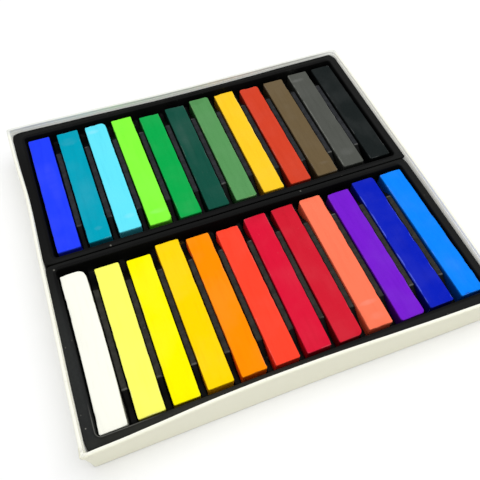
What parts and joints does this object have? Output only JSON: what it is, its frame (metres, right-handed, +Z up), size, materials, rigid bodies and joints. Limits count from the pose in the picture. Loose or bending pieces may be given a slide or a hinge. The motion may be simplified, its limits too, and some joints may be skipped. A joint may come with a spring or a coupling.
{
  "type": "pastel stick box",
  "caption": "Low white board tray with two black formed inserts, each holding a row of square coloured pastel sticks between low ribs.",
  "frame": {"origin": "middle of the tray's underside, on the surface that it stands on", "axes": "+X along the rows of sticks to the right, +Y to the rear row, +Z up out of the tray"},
  "size_m": [0.1662, 0.1504, 0.0195],
  "materials": {
    "greyboard": "matte",
    "gummed_tape": "matte",
    "cover_paper": "satin",
    "formed_sheet": "satin",
    "pastel_blue": "matte",
    "pastel_teal": "matte",
    "pastel_cyan": "matte",
    "pastel_lime": "matte",
    "pastel_green": "matte",
    "pastel_deep_green": "matte",
    "pastel_leaf_green": "matte",
    "pastel_amber": "matte",
    "pastel_vermilion": "matte",
    "pastel_brown": "matte",
    "pastel_grey": "matte",
    "pastel_black": "matte",
    "pastel_white": "matte",
    "pastel_pale_yellow": "matte",
    "pastel_yellow": "matte",
    "pastel_golden": "matte",
    "pastel_orange": "matte",
    "pastel_flame": "matte",
    "pastel_crimson": "matte",
    "pastel_dark_red": "matte",
    "pastel_salmon": "matte",
    "pastel_purple": "matte",
    "pastel_deep_blue": "matte",
    "pastel_sky": "matte"
  },
  "bodies": {
    "tray": {"tray_board": "greyboard", "corner_stays": "gummed_tape", "cover_wrap": "cover_paper"},
    "rear_insert_body": {"rear_insert": "formed_sheet"},
    "front_insert_body": {"front_insert": "formed_sheet"},
    "stick_blue_body": {"stick_blue": "pastel_blue"},
    "stick_teal_body": {"stick_teal": "pastel_teal"},
    "stick_cyan_body": {"stick_cyan": "pastel_cyan"},
    "stick_lime_body": {"stick_lime": "pastel_lime"},
    "stick_green_body": {"stick_green": "pastel_green"},
    "stick_deep_green_body": {"stick_deep_green": "pastel_deep_green"},
    "stick_leaf_green_body": {"stick_leaf_green": "pastel_leaf_green"},
    "stick_amber_body": {"stick_amber": "pastel_amber"},
    "stick_vermilion_body": {"stick_vermilion": "pastel_vermilion"},
    "stick_brown_body": {"stick_brown": "pastel_brown"},
    "stick_grey_body": {"stick_grey": "pastel_grey"},
    "stick_black_body": {"stick_black": "pastel_black"},
    "stick_white_body": {"stick_white": "pastel_white"},
    "stick_pale_yellow_body": {"stick_pale_yellow": "pastel_pale_yellow"},
    "stick_yellow_body": {"stick_yellow": "pastel_yellow"},
    "stick_golden_body": {"stick_golden": "pastel_golden"},
    "stick_orange_body": {"stick_orange": "pastel_orange"},
    "stick_flame_body": {"stick_flame": "pastel_flame"},
    "stick_crimson_body": {"stick_crimson": "pastel_crimson"},
    "stick_dark_red_body": {"stick_dark_red": "pastel_dark_red"},
    "stick_salmon_body": {"stick_salmon": "pastel_salmon"},
    "stick_purple_body": {"stick_purple": "pastel_purple"},
    "stick_deep_blue_body": {"stick_deep_blue": "pastel_deep_blue"},
    "stick_sky_body": {"stick_sky": "pastel_sky"}
  },
  "joints": [
    {"name": "lift_rear_insert", "type": "slide", "parent": "tray", "child": "rear_insert_body", "axis": [0, 0, 1], "range_m": [0, 0.025]},
    {"name": "lift_front_insert", "type": "slide", "parent": "tray", "child": "front_insert_body", "axis": [0, 0, 1], "range_m": [0, 0.025]},
    {"name": "lift_blue", "type": "slide", "parent": "rear_insert_body", "child": "stick_blue_body", "axis": [0, 0, 1], "range_m": [0, 0.02]},
    {"name": "lift_teal", "type": "slide", "parent": "rear_insert_body", "child": "stick_teal_body", "axis": [0, 0, 1], "range_m": [0, 0.02]},
    {"name": "lift_cyan", "type": "slide", "parent": "rear_insert_body", "child": "stick_cyan_body", "axis": [0, 0, 1], "range_m": [0, 0.02]},
    {"name": "lift_lime", "type": "slide", "parent": "rear_insert_body", "child": "stick_lime_body", "axis": [0, 0, 1], "range_m": [0, 0.02]},
    {"name": "lift_green", "type": "slide", "parent": "rear_insert_body", "child": "stick_green_body", "axis": [0, 0, 1], "range_m": [0, 0.02]},
    {"name": "lift_deep_green", "type": "slide", "parent": "rear_insert_body", "child": "stick_deep_green_body", "axis": [0, 0, 1], "range_m": [0, 0.02]},
    {"name": "lift_leaf_green", "type": "slide", "parent": "rear_insert_body", "child": "stick_leaf_green_body", "axis": [0, 0, 1], "range_m": [0, 0.02]},
    {"name": "lift_amber", "type": "slide", "parent": "rear_insert_body", "child": "stick_amber_body", "axis": [0, 0, 1], "range_m": [0, 0.02]},
    {"name": "lift_vermilion", "type": "slide", "parent": "rear_insert_body", "child": "stick_vermilion_body", "axis": [0, 0, 1], "range_m": [0, 0.02]},
    {"name": "lift_brown", "type": "slide", "parent": "rear_insert_body", "child": "stick_brown_body", "axis": [0, 0, 1], "range_m": [0, 0.02]},
    {"name": "lift_grey", "type": "slide", "parent": "rear_insert_body", "child": "stick_grey_body", "axis": [0, 0, 1], "range_m": [0, 0.02]},
    {"name": "lift_black", "type": "slide", "parent": "rear_insert_body", "child": "stick_black_body", "axis": [0, 0, 1], "range_m": [0, 0.02]},
    {"name": "lift_white", "type": "slide", "parent": "front_insert_body", "child": "stick_white_body", "axis": [0, 0, 1], "range_m": [0, 0.02]},
    {"name": "lift_pale_yellow", "type": "slide", "parent": "front_insert_body", "child": "stick_pale_yellow_body", "axis": [0, 0, 1], "range_m": [0, 0.02]},
    {"name": "lift_yellow", "type": "slide", "parent": "front_insert_body", "child": "stick_yellow_body", "axis": [0, 0, 1], "range_m": [0, 0.02]},
    {"name": "lift_golden", "type": "slide", "parent": "front_insert_body", "child": "stick_golden_body", "axis": [0, 0, 1], "range_m": [0, 0.02]},
    {"name": "lift_orange", "type": "slide", "parent": "front_insert_body", "child": "stick_orange_body", "axis": [0, 0, 1], "range_m": [0, 0.02]},
    {"name": "lift_flame", "type": "slide", "parent": "front_insert_body", "child": "stick_flame_body", "axis": [0, 0, 1], "range_m": [0, 0.02]},
    {"name": "lift_crimson", "type": "slide", "parent": "front_insert_body", "child": "stick_crimson_body", "axis": [0, 0, 1], "range_m": [0, 0.02]},
    {"name": "lift_dark_red", "type": "slide", "parent": "front_insert_body", "child": "stick_dark_red_body", "axis": [0, 0, 1], "range_m": [0, 0.02]},
    {"name": "lift_salmon", "type": "slide", "parent": "front_insert_body", "child": "stick_salmon_body", "axis": [0, 0, 1], "range_m": [0, 0.02]},
    {"name": "lift_purple", "type": "slide", "parent": "front_insert_body", "child": "stick_purple_body", "axis": [0, 0, 1], "range_m": [0, 0.02]},
    {"name": "lift_deep_blue", "type": "slide", "parent": "front_insert_body", "child": "stick_deep_blue_body", "axis": [0, 0, 1], "range_m": [0, 0.02]},
    {"name": "lift_sky", "type": "slide", "parent": "front_insert_body", "child": "stick_sky_body", "axis": [0, 0, 1], "range_m": [0, 0.02]}
  ]
}
